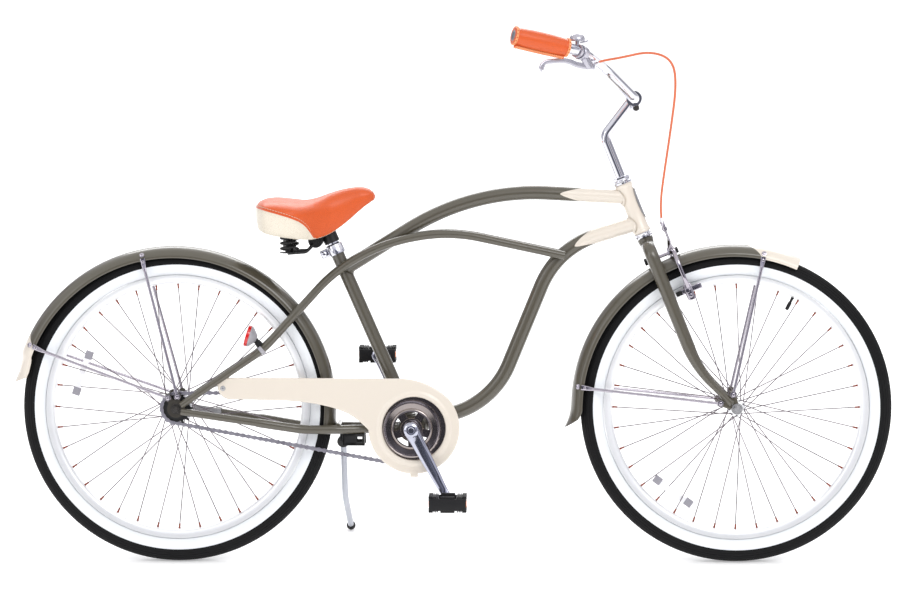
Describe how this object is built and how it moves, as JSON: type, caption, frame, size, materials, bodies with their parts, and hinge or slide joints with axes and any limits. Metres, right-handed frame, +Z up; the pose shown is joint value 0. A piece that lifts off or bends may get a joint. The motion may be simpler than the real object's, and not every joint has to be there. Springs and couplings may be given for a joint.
{
  "type": "beach cruiser bicycle",
  "caption": "Beach cruiser bicycle with a curved twin-tube frame, balloon tyres, full fenders, chain guard, swept-back handlebar and sprung saddle, leaning on its side stand.",
  "frame": {"origin": "bottom centre of the whole bicycle's box, on the floor that it stands on", "axes": "+X forward along the bicycle, +Y to its left, the side it leans to, +Z up"},
  "size_m": [1.8802, 0.7072, 1.188],
  "materials": {
    "tyre": "ribbed black rubber with a white sidewall",
    "rim": "pale satin",
    "spoke": "bright wire",
    "chrome": "polished",
    "steel": "zinc plated",
    "black_metal": "satin black",
    "olive_paint": "satin olive grey",
    "cream_paint": "gloss cream",
    "orange_leather": "smooth tan orange",
    "orange_jacket": "braided orange",
    "black_plastic": "moulded black",
    "red_lens": "ribbed red lens"
  },
  "bodies": {
    "frame": {"bottom_bracket": "olive_paint", "bracket_cups": "steel", "chain": "steel", "chain_guard": "cream_paint", "chain_stay_left": "olive_paint", "chain_stay_right": "olive_paint", "coaster_arm": "steel", "down_tube": "olive_paint", "dropout_left": "olive_paint", "dropout_right": "olive_paint", "frame_bridges": "olive_paint", "head_badge": "chrome", "head_tube": "cream_paint", "headset_cups": "chrome", "rear_axle": "steel", "rear_cog": "steel", "rear_fender": "olive_paint", "rear_fender_stays": "chrome", "rear_reflector": "red_lens", "saddle": "orange_leather", "saddle_clamp": "black_metal", "saddle_rails": "black_metal", "saddle_springs": "black_metal", "seat_clamp": "chrome", "seat_post": "chrome", "seat_tube": "olive_paint", "side_tube_left": "olive_paint", "side_tube_right": "olive_paint", "stand_bracket": "black_metal", "top_tube": "olive_paint"},
    "steering": {"fork": "olive_paint", "headset_nut": "chrome", "stem": "chrome", "handlebar": "chrome", "grip_right": "orange_leather", "grip_left": "orange_leather", "brake_lever": "chrome", "bell": "chrome", "front_brake": "chrome", "brake_cable": "orange_jacket", "front_fender": "olive_paint", "front_fender_stays": "chrome", "front_axle": "steel"},
    "front_wheel": {"front_tyre": "tyre", "front_rim": "rim", "front_spokes": "spoke", "front_hub": "chrome"},
    "rear_wheel": {"rear_tyre": "tyre", "rear_rim": "rim", "rear_spokes": "spoke", "rear_hub": "steel"},
    "crankset": {"crank": "chrome", "chainring": "chrome"},
    "right_pedal": {"pedal_right": "black_plastic"},
    "left_pedal": {"pedal_left": "black_plastic"},
    "side_stand": {"stand_leg": "steel"}
  },
  "joints": [
    {"name": "steering", "type": "hinge", "parent": "frame", "child": "steering", "pos_m": [0.4165, -0.07735, 0.68382], "axis": [-0.373, 0.1691, 0.9123], "range_deg": [-75, 75]},
    {"name": "front_wheel_spin", "type": "hinge", "parent": "steering", "child": "front_wheel", "pos_m": [0.6125, -0.14341, 0.32738], "axis": [0, 0.9833, -0.1822], "continuous": true},
    {"name": "rear_wheel_spin", "type": "hinge", "parent": "frame", "child": "rear_wheel", "pos_m": [-0.5825, -0.14341, 0.32738], "axis": [0, 0.9833, -0.1822], "continuous": true},
    {"name": "crank_spin", "type": "hinge", "parent": "frame", "child": "crankset", "pos_m": [-0.0805, -0.15152, 0.28363], "axis": [0, 0.9833, -0.1822], "continuous": true},
    {"name": "right_pedal_spin", "type": "hinge", "parent": "crankset", "child": "right_pedal", "pos_m": [-0.00158, -0.3101, 0.16334], "axis": [0, 0.9833, -0.1822], "continuous": true},
    {"name": "left_pedal_spin", "type": "hinge", "parent": "crankset", "child": "left_pedal", "pos_m": [-0.15942, 0.00706, 0.40392], "axis": [0, 0.9833, -0.1822], "continuous": true},
    {"name": "stand_fold", "type": "hinge", "parent": "frame", "child": "side_stand", "pos_m": [-0.2305, -0.11587, 0.2455], "axis": [0, 0.9914, 0.1305], "range_deg": [0, 88]}
  ]
}
